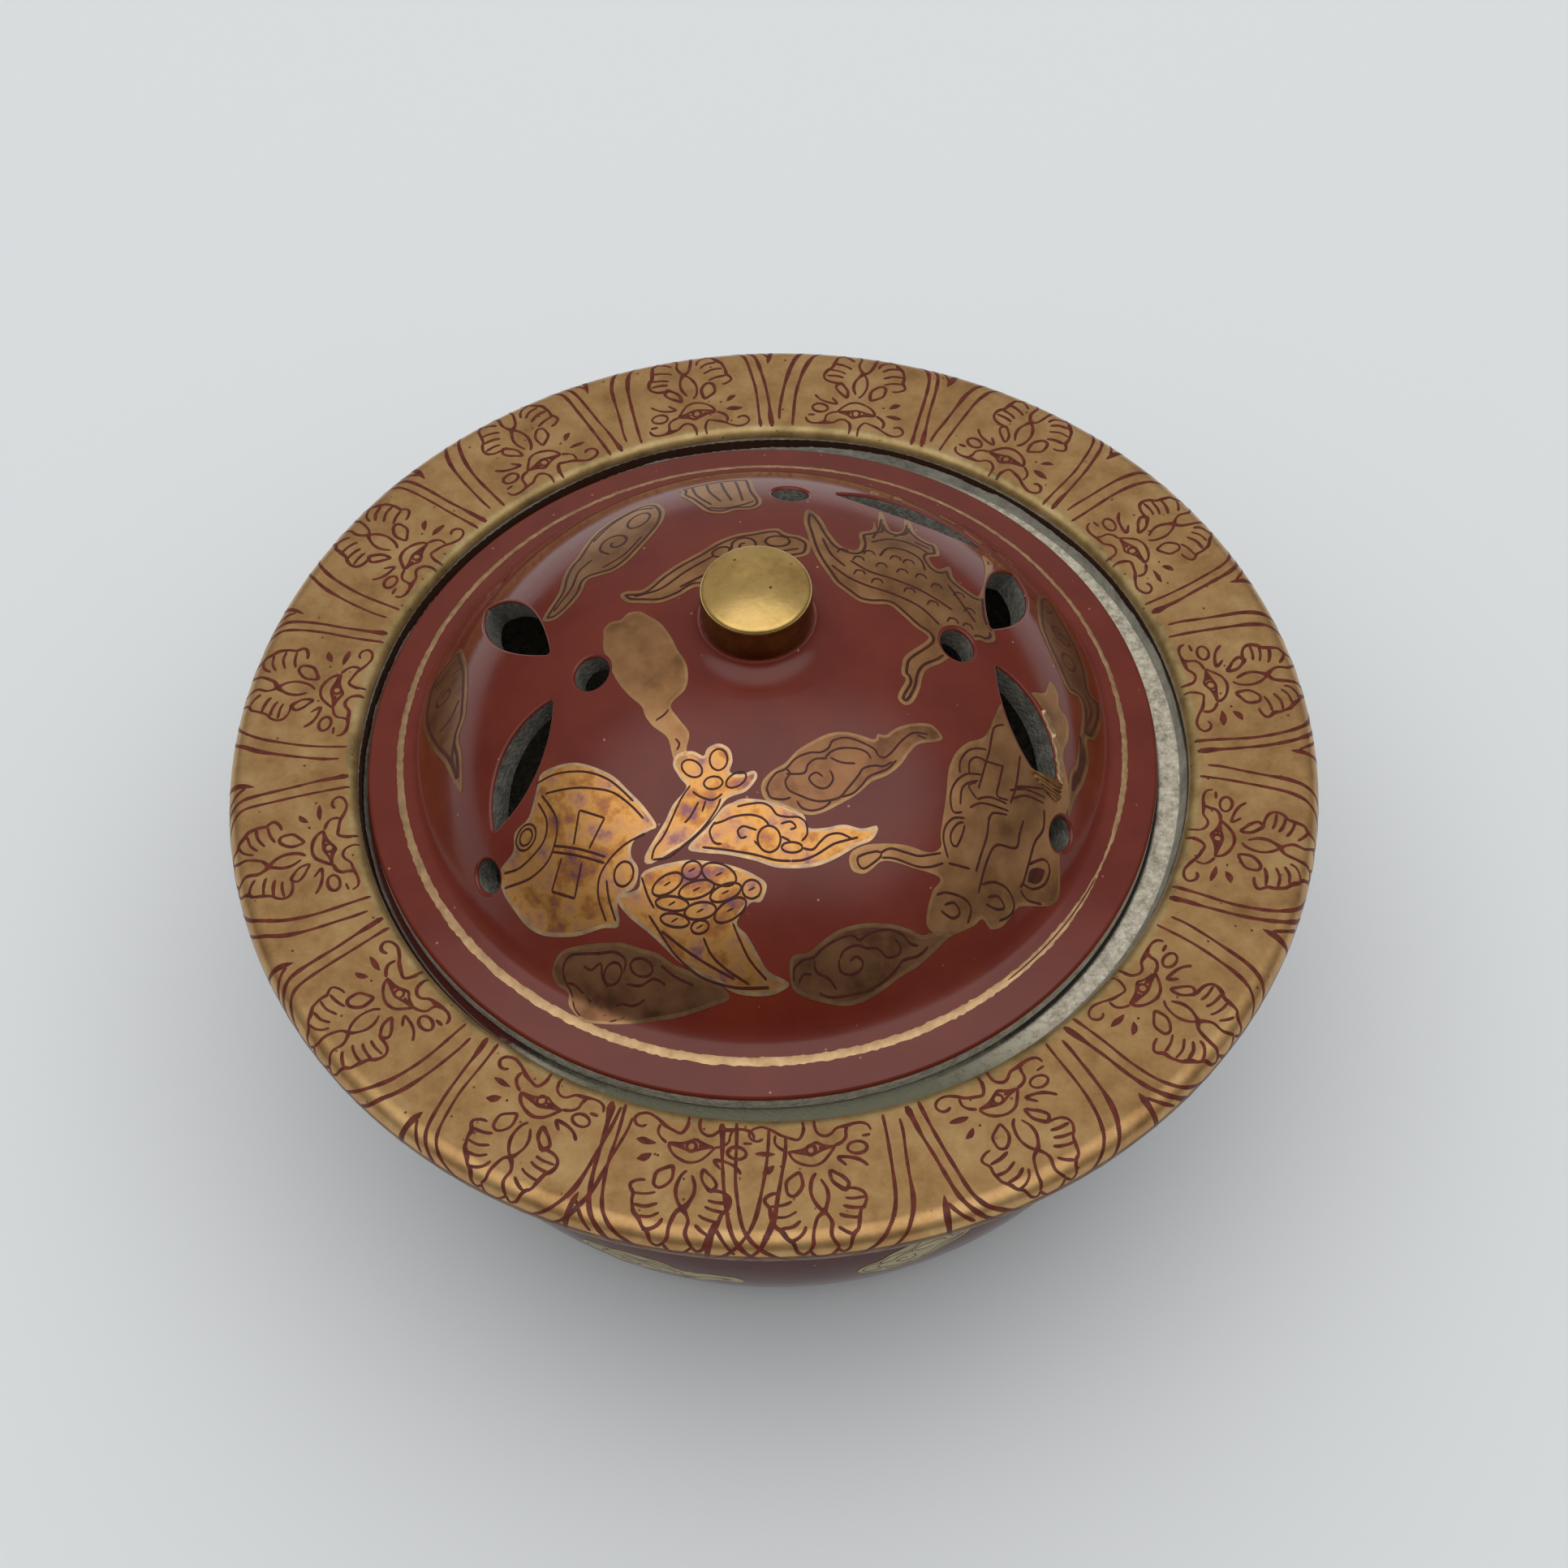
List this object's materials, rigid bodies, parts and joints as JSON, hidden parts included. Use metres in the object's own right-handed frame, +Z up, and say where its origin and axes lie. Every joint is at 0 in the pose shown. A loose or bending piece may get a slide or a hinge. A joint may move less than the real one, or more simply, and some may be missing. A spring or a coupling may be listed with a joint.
{
  "type": "incense burner",
  "caption": "Round lidded ceramic incense burner: bowl on a foot ring, broad flat gilded rim with a sunk gallery, and a loose red dome lid with leaf-shaped smoke holes and a gilded knob.",
  "frame": {"origin": "on the table, on the bowl's axis, at the middle of the foot ring's tread", "axes": "+Z up along the bowl's axis; the camera that sees the front looks along +Y, with +X to its right"},
  "size_m": [0.12, 0.12, 0.0803],
  "materials": {
    "red_glaze": "iron red enamel over glaze, glossy",
    "gilding": "worn matt gilding over glaze",
    "bare_clay": "unglazed, gritty"
  },
  "bodies": {
    "burner": {"bowl": "red_glaze", "foot_ring": "bare_clay", "rim": "gilding"},
    "cover": {"lid": "red_glaze", "knob": "gilding"}
  },
  "joints": [
    {"name": "lid_lift", "type": "slide", "parent": "burner", "child": "cover", "axis": [0, 0, 1], "range_m": [0, 0.06]}
  ]
}
